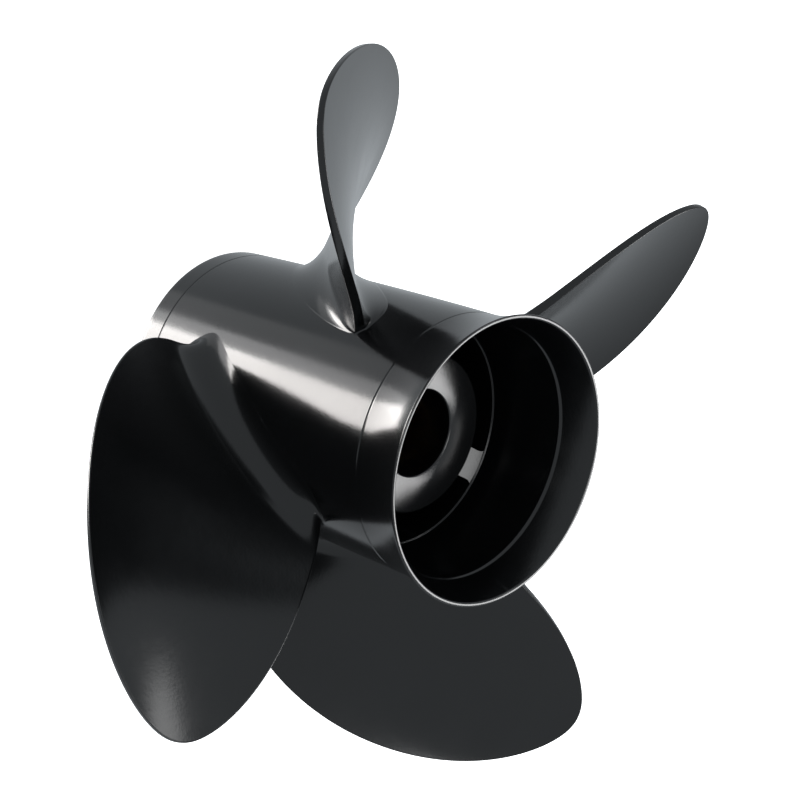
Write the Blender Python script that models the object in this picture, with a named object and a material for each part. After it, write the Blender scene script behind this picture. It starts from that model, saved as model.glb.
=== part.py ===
"""Four-blade outboard motor propeller: an aluminium casting on a rubber bushing and a splined sleeve.

The casting is a barrel that carries four blades outside and, on three ribs, an inner hub inside.
The real casting is one piece. Here its forms are solids of their own, a hair's breadth apart.
The rubber bushing is pressed into the inner hub from the front, and the brass sleeve sits in it.
Metres, +Z up. The shaft axis is the Z axis and +Z points aft. The origin is the centre of the
barrel's front end face, and the part stands on that face.
"""

import math

import bmesh
import bpy
import numpy as np

# Barrel, seen from outside
BARREL_LENGTH = 0.1615
FRONT_RADIUS = 0.0497
WAIST_RADIUS = 0.0527
RIM_RADIUS = 0.0570
WAIST_Z = BARREL_LENGTH - 0.0234
END_CHAMFER = 0.0008
GROOVE_DEPTH = 0.0005
GROOVE_HALF_WIDTH = 0.0006
AFT_GROOVE_Z = WAIST_Z
FRONT_GROOVE_Z = 0.0103

# Barrel, seen from inside
RIM_THICKNESS = 0.0018
RIM_STEP_Z = BARREL_LENGTH - 0.0144
RIM_STEP_RADIUS = 0.0506
RIM_STEP = 0.0008
LEDGE_Z = BARREL_LENGTH - 0.0479
LEDGE_RADIUS = 0.0468
LEDGE = 0.0008
FRONT_CAVITY_RADIUS = 0.0458

# Inner hub
HUB_AFT_Z = BARREL_LENGTH - 0.0433
HUB_FRONT_Z = 0.0100
HUB_RADIUS = 0.0324
HUB_DRAFT = 0.0006
HUB_EDGE = 0.0010
BORE_RADIUS = 0.0172
BORE_EDGE = 0.0009
BUSHING_SEAT_RADIUS = 0.0225
BUSHING_SEAT_Z = 0.0800

# Ribs between the inner hub and the barrel, turned clockwise from the first blade seen from astern
RIB_COUNT = 3
RIB_TURN = math.radians(129.0)
RIB_FRONT_Z = 0.0160
RIB_WIDTH = 0.0125
RIB_FILLET = 0.0026
RIB_INNER_RADIUS = 0.0290
RIB_OUTER_RADIUS = 0.0480

# Blades
BLADE_COUNT = 4
ROOT_PITCH = 0.513
PITCH_LOSS = 0.133
PITCH_BULGE = 0.060
REFERENCE_Z = 0.0824
RAKE = 0.290
RAKE_CURVE = 0.178
# Radius in metres and angle in degrees towards the leading edge: leading edge root, tip, trailing edge root
BLADE_OUTLINE = (
    (0.0559, 34.8),
    (0.0895, 30.9),
    (0.1189, 20.8),
    (0.1421, 7.7),
    (0.1587, -6.7),
    (0.1624, -18.3),
    (0.1479, -24.3),
    (0.1089, -27.4),
    (0.0559, -23.3),
)
ROOT_THICKNESS = 0.0074
TIP_THICKNESS = 0.0027
TRAILING_THICKNESS = 0.0038
LEADING_THICKNESS = 0.0014
ROOT_HOLLOW = 0.0007
TIP_HOLLOW = 0.0013
PRESSURE_FILLET = 0.0150
SUCTION_FILLET = 0.0105
EDGE_FILLET = 0.0020
# Powers by which the fillets die out at the blade's edges: the higher, the more bluntly
PRESSURE_FILLET_AFT_END = 8
PRESSURE_FILLET_FRONT_END = 18
SUCTION_FILLET_END = 6
ROOT_SINK = 0.0025
FOOT_RADIUS = (FRONT_RADIUS + WAIST_RADIUS) / 2.0
TIP_REACH = 0.97

# Gap between solids that touch on the real propeller
FIT_GAP = 0.0003

# Rubber bushing and splined sleeve
BUSHING_FRONT_Z = 0.0180
BUSHING_CHAMFER = 0.0020
SLEEVE_FRONT_Z = 0.0120
SLEEVE_AFT_Z = 0.0860
SLEEVE_RADIUS = 0.0155
SLEEVE_CHAMFER = 0.0010
SPLINE_TEETH = 15
SPLINE_ROOT_RADIUS = 0.0129
SPLINE_TIP_RADIUS = 0.0117

# Fineness of the round shapes
BARREL_SEGMENTS = 72
HUB_SEGMENTS = 48
CURVE_STEPS = 6
BLADE_STATIONS = 13
FLARE_STATIONS = 5
CHORD_POINTS = 9
SHARP_ANGLE = math.radians(32.0)


def clear_scene():
    """Remove every object that the scene starts with."""
    for thing in list(bpy.data.objects):
        bpy.data.objects.remove(thing, do_unlink=True)


def make_material(name, colour, roughness, metallic):
    """Return a Principled material."""
    material = bpy.data.materials.new(name)
    material.use_nodes = True
    shader = material.node_tree.nodes["Principled BSDF"]
    shader.inputs["Base Color"].default_value = (*colour, 1.0)
    shader.inputs["Roughness"].default_value = roughness
    shader.inputs["Metallic"].default_value = metallic
    return material


def add_object(name, bm, material=None):
    """Turn a bmesh into a smooth-shaded object with outward normals."""
    bmesh.ops.recalc_face_normals(bm, faces=bm.faces[:])
    mesh = bpy.data.meshes.new(name)
    bm.to_mesh(mesh)
    bm.free()
    mesh.shade_smooth()
    mesh.set_sharp_from_angle(angle=SHARP_ANGLE)
    if material is not None:
        mesh.materials.append(material)
    thing = bpy.data.objects.new(name, mesh)
    bpy.context.scene.collection.objects.link(thing)
    return thing


def hide_tool(thing):
    """Mark an object as one that only shapes another."""
    thing.hide_render = True
    thing.display_type = "WIRE"


def turned(profile, segments):
    """Spin a closed profile of (radius, z) points about the Z axis."""
    bm = bmesh.new()
    points = [bm.verts.new((radius, 0.0, z)) for radius, z in profile]
    edges = [bm.edges.new((points[i - 1], points[i])) for i in range(len(points))]
    bmesh.ops.spin(
        bm,
        geom=points + edges,
        cent=(0.0, 0.0, 0.0),
        axis=(0.0, 0.0, 1.0),
        angle=math.tau,
        steps=segments,
        use_merge=True,
    )
    return bm


def barrel_radius(z):
    """Outer radius of the barrel at a height: a slow taper forward and a flare at the rim."""
    if z <= WAIST_Z:
        rise = z / WAIST_Z
        return FRONT_RADIUS + (WAIST_RADIUS - FRONT_RADIUS) * rise * (2.0 - rise)
    flare = (z - WAIST_Z) / (BARREL_LENGTH - WAIST_Z)
    return WAIST_RADIUS + (RIM_RADIUS - WAIST_RADIUS) * flare**2


def groove(z):
    """Profile points of a fine turned groove, front side first."""
    sides = ((-1.0, 0.0), (0.0, GROOVE_DEPTH), (1.0, 0.0))
    places = [(z + side * GROOVE_HALF_WIDTH, depth) for side, depth in sides]
    return [(barrel_radius(place) - depth, place) for place, depth in places]


def middle_heights():
    """Heights of the profile points between the two grooves, where the blades stand."""
    span = AFT_GROOVE_Z - FRONT_GROOVE_Z
    return [FRONT_GROOVE_Z + span * step / CURVE_STEPS for step in range(1, CURVE_STEPS)]


def outer_profile():
    """Outside of the barrel from the front end to the rim."""
    points = [
        (barrel_radius(0.0) - END_CHAMFER, 0.0),
        (barrel_radius(END_CHAMFER), END_CHAMFER),
    ]
    points += groove(FRONT_GROOVE_Z)
    points += [(barrel_radius(z), z) for z in middle_heights()]
    points += groove(AFT_GROOVE_Z)
    for step in range(1, CURVE_STEPS):
        z = AFT_GROOVE_Z + (BARREL_LENGTH - END_CHAMFER - AFT_GROOVE_Z) * step / CURVE_STEPS
        points.append((barrel_radius(z), z))
    points.append((RIM_RADIUS, BARREL_LENGTH - END_CHAMFER))
    points.append((RIM_RADIUS - END_CHAMFER, BARREL_LENGTH))
    return points


def inner_profile():
    """Inside of the barrel from the rim to the front end."""
    return [
        (RIM_RADIUS - RIM_THICKNESS, BARREL_LENGTH),
        (RIM_STEP_RADIUS, RIM_STEP_Z),
        (RIM_STEP_RADIUS - RIM_STEP, RIM_STEP_Z - RIM_STEP),
        (LEDGE_RADIUS, LEDGE_Z),
        (LEDGE_RADIUS - LEDGE, LEDGE_Z),
        (FRONT_CAVITY_RADIUS, 0.0),
    ]


def hub_profile():
    """Closed profile of the inner hub, round the section from the aft edge of the bore."""
    middle = (HUB_AFT_Z + HUB_FRONT_Z) / 2.0
    return [
        (BORE_RADIUS + BORE_EDGE, HUB_AFT_Z),
        (HUB_RADIUS - HUB_EDGE, HUB_AFT_Z),
        (HUB_RADIUS, HUB_AFT_Z - HUB_EDGE),
        (HUB_RADIUS + HUB_DRAFT, middle),
        (HUB_RADIUS, HUB_FRONT_Z + HUB_EDGE),
        (HUB_RADIUS - HUB_EDGE, HUB_FRONT_Z),
        (BUSHING_SEAT_RADIUS + HUB_EDGE, HUB_FRONT_Z),
        (BUSHING_SEAT_RADIUS, HUB_FRONT_Z + HUB_EDGE),
        (BUSHING_SEAT_RADIUS, BUSHING_SEAT_Z),
        (BORE_RADIUS, BUSHING_SEAT_Z),
        (BORE_RADIUS, HUB_AFT_Z - BORE_EDGE),
    ]


def rib():
    """A rib that widens at both ends, standing along Z, with both ends left long."""
    narrow = RIB_WIDTH / 2.0
    wide = narrow + RIB_FILLET
    side = [
        (RIB_INNER_RADIUS, wide),
        (HUB_RADIUS, wide),
        (HUB_RADIUS + RIB_FILLET, narrow),
        (LEDGE_RADIUS - LEDGE - RIB_FILLET, narrow),
        (LEDGE_RADIUS - LEDGE, wide),
        (RIB_OUTER_RADIUS, wide),
    ]
    outline = side + [(radius, -across) for radius, across in reversed(side)]
    bm = bmesh.new()
    base = bm.faces.new([bm.verts.new((across, radius, RIB_FRONT_Z)) for radius, across in outline])
    lifted = bmesh.ops.extrude_face_region(bm, geom=[base])
    top = [item for item in lifted["geom"] if isinstance(item, bmesh.types.BMVert)]
    bmesh.ops.translate(bm, verts=top, vec=(0.0, 0.0, LEDGE_Z - RIB_FRONT_Z))
    return bm


def spline_curvature(values):
    """Second differences of an evenly spaced cubic spline through the values."""
    count = len(values)
    system = np.zeros((count, count))
    known = np.zeros(count)
    system[0, :3] = (1.0, -2.0, 1.0)
    system[-1, -3:] = (1.0, -2.0, 1.0)
    for i in range(1, count - 1):
        system[i, i - 1 : i + 2] = (1.0, 4.0, 1.0)
        known[i] = 6.0 * (values[i - 1] - 2.0 * values[i] + values[i + 1])
    return np.linalg.solve(system, known)


def spline_value(values, curvature, place):
    """Value of the spline at a place from 0 to 1 along it, and a little beyond."""
    along = place * (len(values) - 1)
    span = min(max(int(math.floor(along)), 0), len(values) - 2)
    part = along - span
    rest = 1.0 - part
    straight = rest * values[span] + part * values[span + 1]
    bend = (rest**3 - rest) * curvature[span] + (part**3 - part) * curvature[span + 1]
    return straight + bend / 6.0


class BladeShape:
    """The blade's outline, pressure face and thickness, read at any radius."""

    def __init__(self):
        self.radii = [radius for radius, _ in BLADE_OUTLINE]
        self.angles = [math.radians(angle) for _, angle in BLADE_OUTLINE]
        self.radius_bend = spline_curvature(self.radii)
        self.angle_bend = spline_curvature(self.angles)
        self.tip_place = self.find_tip()
        self.tip_radius = self.outline_radius(self.tip_place)

    def outline_radius(self, place):
        return spline_value(self.radii, self.radius_bend, place)

    def find_tip(self):
        """Place along the outline where its radius is greatest."""
        low, high = 0.4, 0.8
        while high - low > 1e-7:
            third = (high - low) / 3.0
            if self.outline_radius(low + third) < self.outline_radius(high - third):
                low += third
            else:
                high -= third
        return (low + high) / 2.0

    def edge_angle(self, radius, root_place):
        """Angle of the outline at a radius, on the side that starts at root_place."""
        low, high = root_place + (-0.1 if root_place < 0.5 else 0.1), self.tip_place
        for _ in range(40):
            middle = (low + high) / 2.0
            if self.outline_radius(middle) < radius:
                low = middle
            else:
                high = middle
        return spline_value(self.angles, self.angle_bend, (low + high) / 2.0)

    def pitch(self, radius):
        """Pitch of the pressure face, highest half way out."""
        out = radius - RIM_RADIUS
        share = out / (self.tip_radius - RIM_RADIUS)
        return ROOT_PITCH - PITCH_LOSS * out + PITCH_BULGE * share * (1.0 - share)

    def face_z(self, radius, angle):
        """Height of the pressure face: raked reference line plus a helix."""
        out = radius - RIM_RADIUS
        line = REFERENCE_Z + RAKE * out + RAKE_CURVE * out**2
        return line - self.pitch(radius) * angle / math.tau

    def thickness(self, radius, along):
        """Thickness from the trailing edge (0) to the leading edge (1)."""
        out = (radius - RIM_RADIUS) / (self.tip_radius - RIM_RADIUS)
        out = min(max(out, 0.0), 1.0)
        most = ROOT_THICKNESS + (TIP_THICKNESS - ROOT_THICKNESS) * out
        trailing = TRAILING_THICKNESS + (TIP_THICKNESS - TRAILING_THICKNESS) * out
        edges = trailing + (LEADING_THICKNESS - trailing) * along
        swell = 1.0 - (2.0 * along - 1.0) ** 2
        return edges + (most - edges) * swell

    def hollow(self, radius, along):
        """How far both faces are dished towards the suction side, fading out at the tip."""
        out = max(radius - FOOT_RADIUS, 0.0) / (self.tip_radius - FOOT_RADIUS)
        deepest = (ROOT_HOLLOW + (TIP_HOLLOW - ROOT_HOLLOW) * out) * (1.0 - out**8)
        return deepest * 4.0 * along * (1.0 - along)

    def section(self, radius, lift):
        """Closed loop of points round the blade at one radius, lift metres above the barrel."""
        leading = self.edge_angle(radius, 0.0)
        trailing = self.edge_angle(radius, 1.0)
        pressure_flare = quarter_round(PRESSURE_FILLET, lift)
        suction_flare = quarter_round(SUCTION_FILLET, lift)
        edge_flare = quarter_round(EDGE_FILLET, lift)
        slope = math.atan2(self.pitch(radius), math.tau * radius)
        foot_share = 1.0 - min(lift / PRESSURE_FILLET, 1.0)
        chord = radius * (leading - trailing) / math.cos(slope)
        start_z = self.face_z(radius, trailing)
        loop = []
        for pressure_side in (True, False):
            for i in range(CHORD_POINTS):
                share = i / (CHORD_POINTS - 1)
                share = share if pressure_side else 1.0 - share
                eased = (1.0 - math.cos(math.pi * share)) / 2.0
                off_middle = abs(2.0 * eased - 1.0)
                out = -self.hollow(radius, eased)
                if pressure_side:
                    end = PRESSURE_FILLET_AFT_END if eased < 0.5 else PRESSURE_FILLET_FRONT_END
                    out += pressure_flare * (1.0 - off_middle**end)
                else:
                    out -= suction_flare * (1.0 - off_middle**SUCTION_FILLET_END)
                    out -= self.thickness(radius, eased)
                along = -edge_flare + (chord + 2.0 * edge_flare) * eased
                arc = radius * trailing + along * math.cos(slope) + out * math.sin(slope)
                z = start_z - along * math.sin(slope) + out * math.cos(slope)
                angle = arc / radius
                reach = radius + foot_share * (barrel_radius(z) - FOOT_RADIUS)
                loop.append((reach * math.sin(angle), reach * math.cos(angle), z))
        return loop


def quarter_round(fillet, lift):
    """How far a fillet of this radius spreads at a height above the surface that it meets."""
    if lift >= fillet:
        return 0.0
    rise = fillet - max(lift, 0.0)
    return fillet - math.sqrt(fillet**2 - rise**2)


def blade():
    """Loft the blade's sections from inside the barrel wall to the tip."""
    shape = BladeShape()
    stations = [(FOOT_RADIUS - ROOT_SINK, 0.0)]
    for i in range(FLARE_STATIONS):
        lift = PRESSURE_FILLET * (i / FLARE_STATIONS) ** 1.5
        stations.append((FOOT_RADIUS + lift, lift))
    root = FOOT_RADIUS + PRESSURE_FILLET
    for i in range(BLADE_STATIONS):
        reach = 1.0 - (1.0 - TIP_REACH * i / (BLADE_STATIONS - 1)) ** 2
        stations.append((root + (shape.tip_radius - root) * reach, PRESSURE_FILLET))
    bm = bmesh.new()
    loops = [[bm.verts.new(point) for point in shape.section(*station)] for station in stations]
    for lower, upper in zip(loops, loops[1:]):
        for i in range(len(lower)):
            bm.faces.new((lower[i - 1], lower[i], upper[i], upper[i - 1]))
    for end in (loops[0], loops[-1]):
        for i in range(CHORD_POINTS - 1):
            bm.faces.new((end[i], end[i + 1], end[-i - 2], end[-i - 1]))
    return bm


def fit_to(thing, tool, operation):
    """Shape an object with a tool through a Boolean modifier."""
    hide_tool(tool)
    fitting = thing.modifiers.new(tool.name, "BOOLEAN")
    fitting.operation = operation
    fitting.solver = "EXACT"
    fitting.object = tool


def repeat(first, name, count):
    """Copies of an object, evenly turned clockwise about the shaft axis seen from astern."""
    for i in range(1, count):
        copy = first.copy()
        copy.name = f"{name}_{i + 1}"
        copy.rotation_euler.z = first.rotation_euler.z - math.tau * i / count
        bpy.context.scene.collection.objects.link(copy)


def build_barrel(material):
    """Hollow barrel that carries the blades and lets the exhaust out."""
    add_object("barrel", turned(outer_profile() + inner_profile(), BARREL_SEGMENTS), material)


def build_hub(material):
    """Inner hub round the bushing."""
    add_object("inner_hub", turned(hub_profile(), HUB_SEGMENTS), material)


def build_ribs(material):
    """Ribs, cut to the space between the inner hub and the barrel."""
    middle = (HUB_AFT_Z + HUB_FRONT_Z) / 2.0
    space = [
        (HUB_RADIUS + FIT_GAP, LEDGE_Z),
        (HUB_RADIUS + HUB_DRAFT + FIT_GAP, middle),
        (HUB_RADIUS + FIT_GAP, HUB_FRONT_Z + HUB_EDGE),
        (FRONT_CAVITY_RADIUS - FIT_GAP, HUB_FRONT_Z + HUB_EDGE),
        (LEDGE_RADIUS - LEDGE - FIT_GAP, LEDGE_Z),
    ]
    first = add_object("rib_1", rib(), material)
    fit_to(first, add_object("rib_space", turned(space, BARREL_SEGMENTS)), "INTERSECT")
    first.rotation_euler.z = -RIB_TURN
    repeat(first, "rib", RIB_COUNT)


def build_blades(material):
    """Blades, cut to the barrel that they stand on."""
    ends = (-ROOT_SINK, BARREL_LENGTH + ROOT_SINK)
    inside = FRONT_CAVITY_RADIUS
    space = [(inside, ends[0])]
    space += [(barrel_radius(z) + FIT_GAP, z) for z in (ends[0], *middle_heights(), ends[1])]
    space.append((inside, ends[1]))
    first = add_object("blade_1", blade(), material)
    fit_to(first, add_object("barrel_space", turned(space, BARREL_SEGMENTS)), "DIFFERENCE")
    repeat(first, "blade", BLADE_COUNT)


def build_bushing(material):
    """Rubber bushing between the casting and the sleeve."""
    outer = BUSHING_SEAT_RADIUS - FIT_GAP
    inner = SLEEVE_RADIUS + FIT_GAP
    aft = BUSHING_SEAT_Z - FIT_GAP
    profile = [
        (inner, BUSHING_FRONT_Z),
        (outer - BUSHING_CHAMFER, BUSHING_FRONT_Z),
        (outer, BUSHING_FRONT_Z + BUSHING_CHAMFER),
        (outer, aft),
        (inner, aft),
    ]
    add_object("rubber_bushing", turned(profile, HUB_SEGMENTS), material)


def build_sleeve(material):
    """Brass sleeve with a splined bore for the propeller shaft."""
    profile = [
        (SPLINE_TIP_RADIUS / 2.0, SLEEVE_FRONT_Z),
        (SLEEVE_RADIUS - SLEEVE_CHAMFER, SLEEVE_FRONT_Z),
        (SLEEVE_RADIUS, SLEEVE_FRONT_Z + SLEEVE_CHAMFER),
        (SLEEVE_RADIUS, SLEEVE_AFT_Z - SLEEVE_CHAMFER),
        (SLEEVE_RADIUS - SLEEVE_CHAMFER, SLEEVE_AFT_Z),
        (SPLINE_TIP_RADIUS / 2.0, SLEEVE_AFT_Z),
    ]
    sleeve = add_object("splined_sleeve", turned(profile, HUB_SEGMENTS), material)
    cutter = add_object("spline_cutter", splined_bar())
    hide_tool(cutter)
    cut = sleeve.modifiers.new("splined_bore", "BOOLEAN")
    cut.operation = "DIFFERENCE"
    cut.solver = "EXACT"
    cut.object = cutter


def splined_bar():
    """Bar with straight-sided teeth that cuts the sleeve's bore."""
    bm = bmesh.new()
    overrun = 0.002
    ring = []
    for i in range(SPLINE_TEETH * 4):
        radius = SPLINE_ROOT_RADIUS if i % 4 < 2 else SPLINE_TIP_RADIUS
        turn = math.tau * (i + 0.15 * (-1.0) ** i) / (SPLINE_TEETH * 4)
        x = radius * math.cos(turn)
        y = radius * math.sin(turn)
        ring.append(bm.verts.new((x, y, SLEEVE_FRONT_Z - overrun)))
    base = bm.faces.new(ring)
    lifted = bmesh.ops.extrude_face_region(bm, geom=[base])
    top = [item for item in lifted["geom"] if isinstance(item, bmesh.types.BMVert)]
    length = SLEEVE_AFT_Z - SLEEVE_FRONT_Z + 2.0 * overrun
    bmesh.ops.translate(bm, verts=top, vec=(0.0, 0.0, length))
    return bm


def main():
    """Build the propeller."""
    clear_scene()
    paint = make_material("black_painted_aluminium", (0.012, 0.013, 0.015), 0.32, 0.0)
    build_barrel(paint)
    build_hub(paint)
    build_ribs(paint)
    build_blades(paint)
    build_bushing(make_material("black_rubber", (0.015, 0.015, 0.015), 0.75, 0.0))
    build_sleeve(make_material("brass", (0.72, 0.52, 0.22), 0.35, 1.0))


main()
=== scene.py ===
import logging
import math
from dataclasses import dataclass, field
from enum import Enum

import bmesh
import bpy
import numpy as np
from mathutils import Euler, Matrix, Vector


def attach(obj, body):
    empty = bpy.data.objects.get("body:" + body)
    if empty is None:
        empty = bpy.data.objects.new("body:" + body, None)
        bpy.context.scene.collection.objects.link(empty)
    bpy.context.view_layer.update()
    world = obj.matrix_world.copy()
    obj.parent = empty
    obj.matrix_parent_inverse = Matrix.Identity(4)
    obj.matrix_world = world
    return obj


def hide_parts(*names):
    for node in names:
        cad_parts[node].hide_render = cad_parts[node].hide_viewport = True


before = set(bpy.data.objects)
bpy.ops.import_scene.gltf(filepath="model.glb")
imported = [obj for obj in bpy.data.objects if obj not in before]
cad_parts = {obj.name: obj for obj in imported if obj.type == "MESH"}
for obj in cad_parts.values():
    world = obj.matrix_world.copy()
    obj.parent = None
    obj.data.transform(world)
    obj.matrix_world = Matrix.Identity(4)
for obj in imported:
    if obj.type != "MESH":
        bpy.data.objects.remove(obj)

log = logging.getLogger("propeller")

SMOOTH_ANGLE = math.radians(38.0)
MERGE_DISTANCE = 1e-6
RING_TOLERANCE = 1e-5
LEAST_CHORD = 1e-7
LEAST_ANGLE = 1e-9
SLOPE_STEP = 1e-5
BUMP_DISTANCE = 0.001


# Mesh helpers


class Slot(Enum):
    """Material slots of the record."""

    PAINT = "painted_casting"
    RUBBER = "rubber"
    BRASS = "brass"


def finish_piece(name: str, bm: bmesh.types.BMesh, material: bpy.types.Material) -> bpy.types.Object:
    """Turn a bmesh into a smooth-shaded object at the origin.

    Args:
        name: Name of the new object.
        bm: The finished shape, which is freed here.
        material: The finish that it gets.

    Returns:
        The linked object.
    """
    bmesh.ops.remove_doubles(bm, verts=bm.verts[:], dist=MERGE_DISTANCE)
    bmesh.ops.recalc_face_normals(bm, faces=bm.faces[:])
    mesh = bpy.data.meshes.new(name)
    bm.to_mesh(mesh)
    bm.free()
    mesh.shade_smooth()
    mesh.set_sharp_from_angle(angle=SMOOTH_ANGLE)
    mesh.materials.append(material)
    thing = bpy.data.objects.new(name, mesh)
    bpy.context.scene.collection.objects.link(thing)
    return thing


def hand_over(thing: bpy.types.Object, slot: Slot, *nodes: str) -> None:
    """Let a piece ride on the part and stand for CAD nodes.

    Args:
        thing: The finished piece.
        slot: The record's slot; not used.
        nodes: Names of the CAD nodes that it replaces.
    """
    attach(thing, "root")
    if nodes:
        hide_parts(*nodes)
    log.info("built %s with %d faces", thing.name, len(thing.data.polygons))


def turned(profile: list[tuple[float, float]], segments: int) -> bmesh.types.BMesh:
    """Spin a closed profile about the shaft axis.

    Args:
        profile: Radius and height of each corner, in order.
        segments: Steps of the full turn.

    Returns:
        The turned shape.
    """
    bm = bmesh.new()
    corners = [bm.verts.new((radius, 0.0, z)) for radius, z in profile]
    edges = [bm.edges.new((corners[i - 1], corners[i])) for i in range(len(corners))]
    bmesh.ops.spin(
        bm,
        geom=corners + edges,
        cent=(0.0, 0.0, 0.0),
        axis=(0.0, 0.0, 1.0),
        angle=math.tau,
        steps=segments,
        use_merge=True,
    )
    bmesh.ops.remove_doubles(bm, verts=bm.verts[:], dist=RING_TOLERANCE)
    return bm


def round_rings(bm: bmesh.types.BMesh, rings: list[tuple[float, float]], width: float, steps: int) -> None:
    """Round the corners of a turned shape.

    Args:
        bm: The turned shape.
        rings: Radius and height of each corner to round.
        width: How far the rounding reaches from the corner.
        steps: Segments across the rounding.
    """
    chosen = []
    for edge in bm.edges:
        places = [(math.hypot(vert.co.x, vert.co.y), vert.co.z) for vert in edge.verts]
        for radius, z in rings:
            if all(abs(r - radius) < RING_TOLERANCE and abs(h - z) < RING_TOLERANCE for r, h in places):
                chosen.append(edge)
                break
    bmesh.ops.bevel(
        bm,
        geom=chosen,
        offset=width,
        offset_type="OFFSET",
        affect="EDGES",
        segments=steps,
        profile=0.5,
        material=-1,
        clamp_overlap=True,
    )


# Shader helpers


class Graph:
    """Adds and wires the nodes of one node tree."""

    def __init__(self, tree: bpy.types.NodeTree) -> None:
        """Start on a tree."""
        self.tree = tree

    def add(self, kind: str, **settings: object) -> bpy.types.Node:
        """Add a node.

        Args:
            kind: Blender's name of the node type.
            settings: Properties to set on it.

        Returns:
            The new node.
        """
        node = self.tree.nodes.new(kind)
        for key, value in settings.items():
            setattr(node, key, value)
        return node

    def wire(self, source: bpy.types.NodeSocket, target: bpy.types.NodeSocket) -> None:
        """Link one socket to another."""
        self.tree.links.new(source, target)

    def math(self, operation: str, *values: object) -> bpy.types.NodeSocket:
        """Add a Math node.

        Args:
            operation: Its operation.
            values: Sockets or numbers for its inputs.

        Returns:
            Its output socket.
        """
        node = self.add("ShaderNodeMath", operation=operation)
        for place, value in zip(node.inputs, values):
            if isinstance(value, (int, float)):
                place.default_value = value
            else:
                self.wire(value, place)
        return node.outputs[0]

    def noise(
        self, vector: bpy.types.NodeSocket, scale: object, detail: float, roughness: float = 0.5
    ) -> bpy.types.Node:
        """Add a Noise Texture.

        Args:
            vector: Coordinates that it reads.
            scale: Its scale, a number or a socket.
            detail: Octaves.
            roughness: Weight of the finer octaves.

        Returns:
            The node.
        """
        node = self.add("ShaderNodeTexNoise")
        self.wire(vector, node.inputs["Vector"])
        if isinstance(scale, (int, float)):
            node.inputs["Scale"].default_value = scale
        else:
            self.wire(scale, node.inputs["Scale"])
        node.inputs["Detail"].default_value = detail
        node.inputs["Roughness"].default_value = roughness
        return node

    def spread(
        self,
        value: bpy.types.NodeSocket,
        given: tuple[float, float],
        wanted: tuple[float, float] = (0.0, 1.0),
    ) -> bpy.types.NodeSocket:
        """Map a value from one range to another, easing in and out.

        Args:
            value: Socket to read.
            given: Range that it comes in.
            wanted: Range that it is mapped to.

        Returns:
            The mapped value.
        """
        node = self.add("ShaderNodeMapRange", interpolation_type="SMOOTHSTEP")
        self.wire(value, node.inputs["Value"])
        for name, number in zip(("From Min", "From Max", "To Min", "To Max"), (*given, *wanted)):
            node.inputs[name].default_value = number
        return node.outputs["Result"]

    def mix_colour(self, share: bpy.types.NodeSocket, first: object, second: object) -> bpy.types.NodeSocket:
        """Mix two colours.

        Args:
            share: Share of the second.
            first: Colour or socket.
            second: Colour or socket.

        Returns:
            The mixed colour.
        """
        node = self.add("ShaderNodeMix", data_type="RGBA")
        self.wire(share, node.inputs[0])
        for place, value in ((node.inputs[6], first), (node.inputs[7], second)):
            if isinstance(value, tuple):
                place.default_value = (*value, 1.0)
            else:
                self.wire(value, place)
        return node.outputs[2]


def new_group(
    name: str, inputs: dict[str, float], output: str
) -> tuple[Graph, bpy.types.Node, bpy.types.NodeSocket]:
    """Make an empty shader node group with number sockets.

    Args:
        name: Name of the group.
        inputs: Names of its inputs and their values.
        output: Name of its output.

    Returns:
        The group's graph, its input node and the socket that takes its result.
    """
    tree = bpy.data.node_groups.new(name, "ShaderNodeTree")
    for label, value in inputs.items():
        socket = tree.interface.new_socket(name=label, in_out="INPUT", socket_type="NodeSocketFloat")
        socket.default_value = value
    tree.interface.new_socket(name=output, in_out="OUTPUT", socket_type="NodeSocketFloat")
    graph = Graph(tree)
    given = graph.add("NodeGroupInput")
    return graph, given, graph.add("NodeGroupOutput").inputs[output]


def sprayed_surface_group() -> bpy.types.NodeTree:
    """Fine ripple of a sprayed or cast surface.

    Returns:
        A group with Scale and Depth inputs and a Height output.
    """
    broad_scale = 0.18
    broad_weight = 1.6
    graph, given, height = new_group("sprayed_surface", {"Scale": 900.0, "Depth": 0.1}, "Height")
    place = graph.add("ShaderNodeTexCoord").outputs["Object"]
    scale = given.outputs["Scale"]
    ripple = graph.noise(place, scale, 2.0).outputs["Fac"]
    broad = graph.noise(place, graph.math("MULTIPLY", scale, broad_scale), 2.0).outputs["Fac"]
    both = graph.math("ADD", ripple, graph.math("MULTIPLY", broad, broad_weight))
    graph.wire(graph.math("MULTIPLY", both, given.outputs["Depth"]), height)
    return graph.tree


def edge_wear_and_highlight_group() -> bpy.types.NodeTree:
    """Patchy mask of convex edges that are painted lighter: a painted highlight along the edges of the black
    paint, and wear on the rubber and brass.

    Returns:
        A group with Reach and Break inputs and a Wear output.
    """
    convex = (0.52, 0.60)
    patchy = (0.35, 0.75)
    graph, given, wear_and_highlight = new_group("edge_wear_and_highlight", {"Reach": 0.6, "Break": 260.0}, "Wear_and_highlight")
    shape = graph.add("ShaderNodeNewGeometry")
    place = graph.add("ShaderNodeTexCoord").outputs["Object"]
    # Pointiness picks out convex edges; on the black paint their lighter colour is a painted highlight.
    edge = graph.spread(shape.outputs["Pointiness"], convex)
    patch = graph.noise(place, given.outputs["Break"], 3.0, 0.6).outputs["Fac"]
    worn_and_highlight = graph.math("MULTIPLY", edge, graph.spread(patch, patchy))
    graph.wire(graph.math("MULTIPLY", worn_and_highlight, given.outputs["Reach"]), wear_and_highlight)
    return graph.tree


def mottle_group() -> bpy.types.NodeTree:
    """Slow unevenness of a finish over the whole part.

    Returns:
        A group with a Scale input and a Tone output from 0 to 1.
    """
    usual = (0.3, 0.7)
    graph, given, tone = new_group("mottle", {"Scale": 18.0}, "Tone")
    place = graph.add("ShaderNodeTexCoord").outputs["Object"]
    cloud = graph.noise(place, given.outputs["Scale"], 4.0, 0.55).outputs["Fac"]
    graph.wire(graph.spread(cloud, usual), tone)
    return graph.tree


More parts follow.
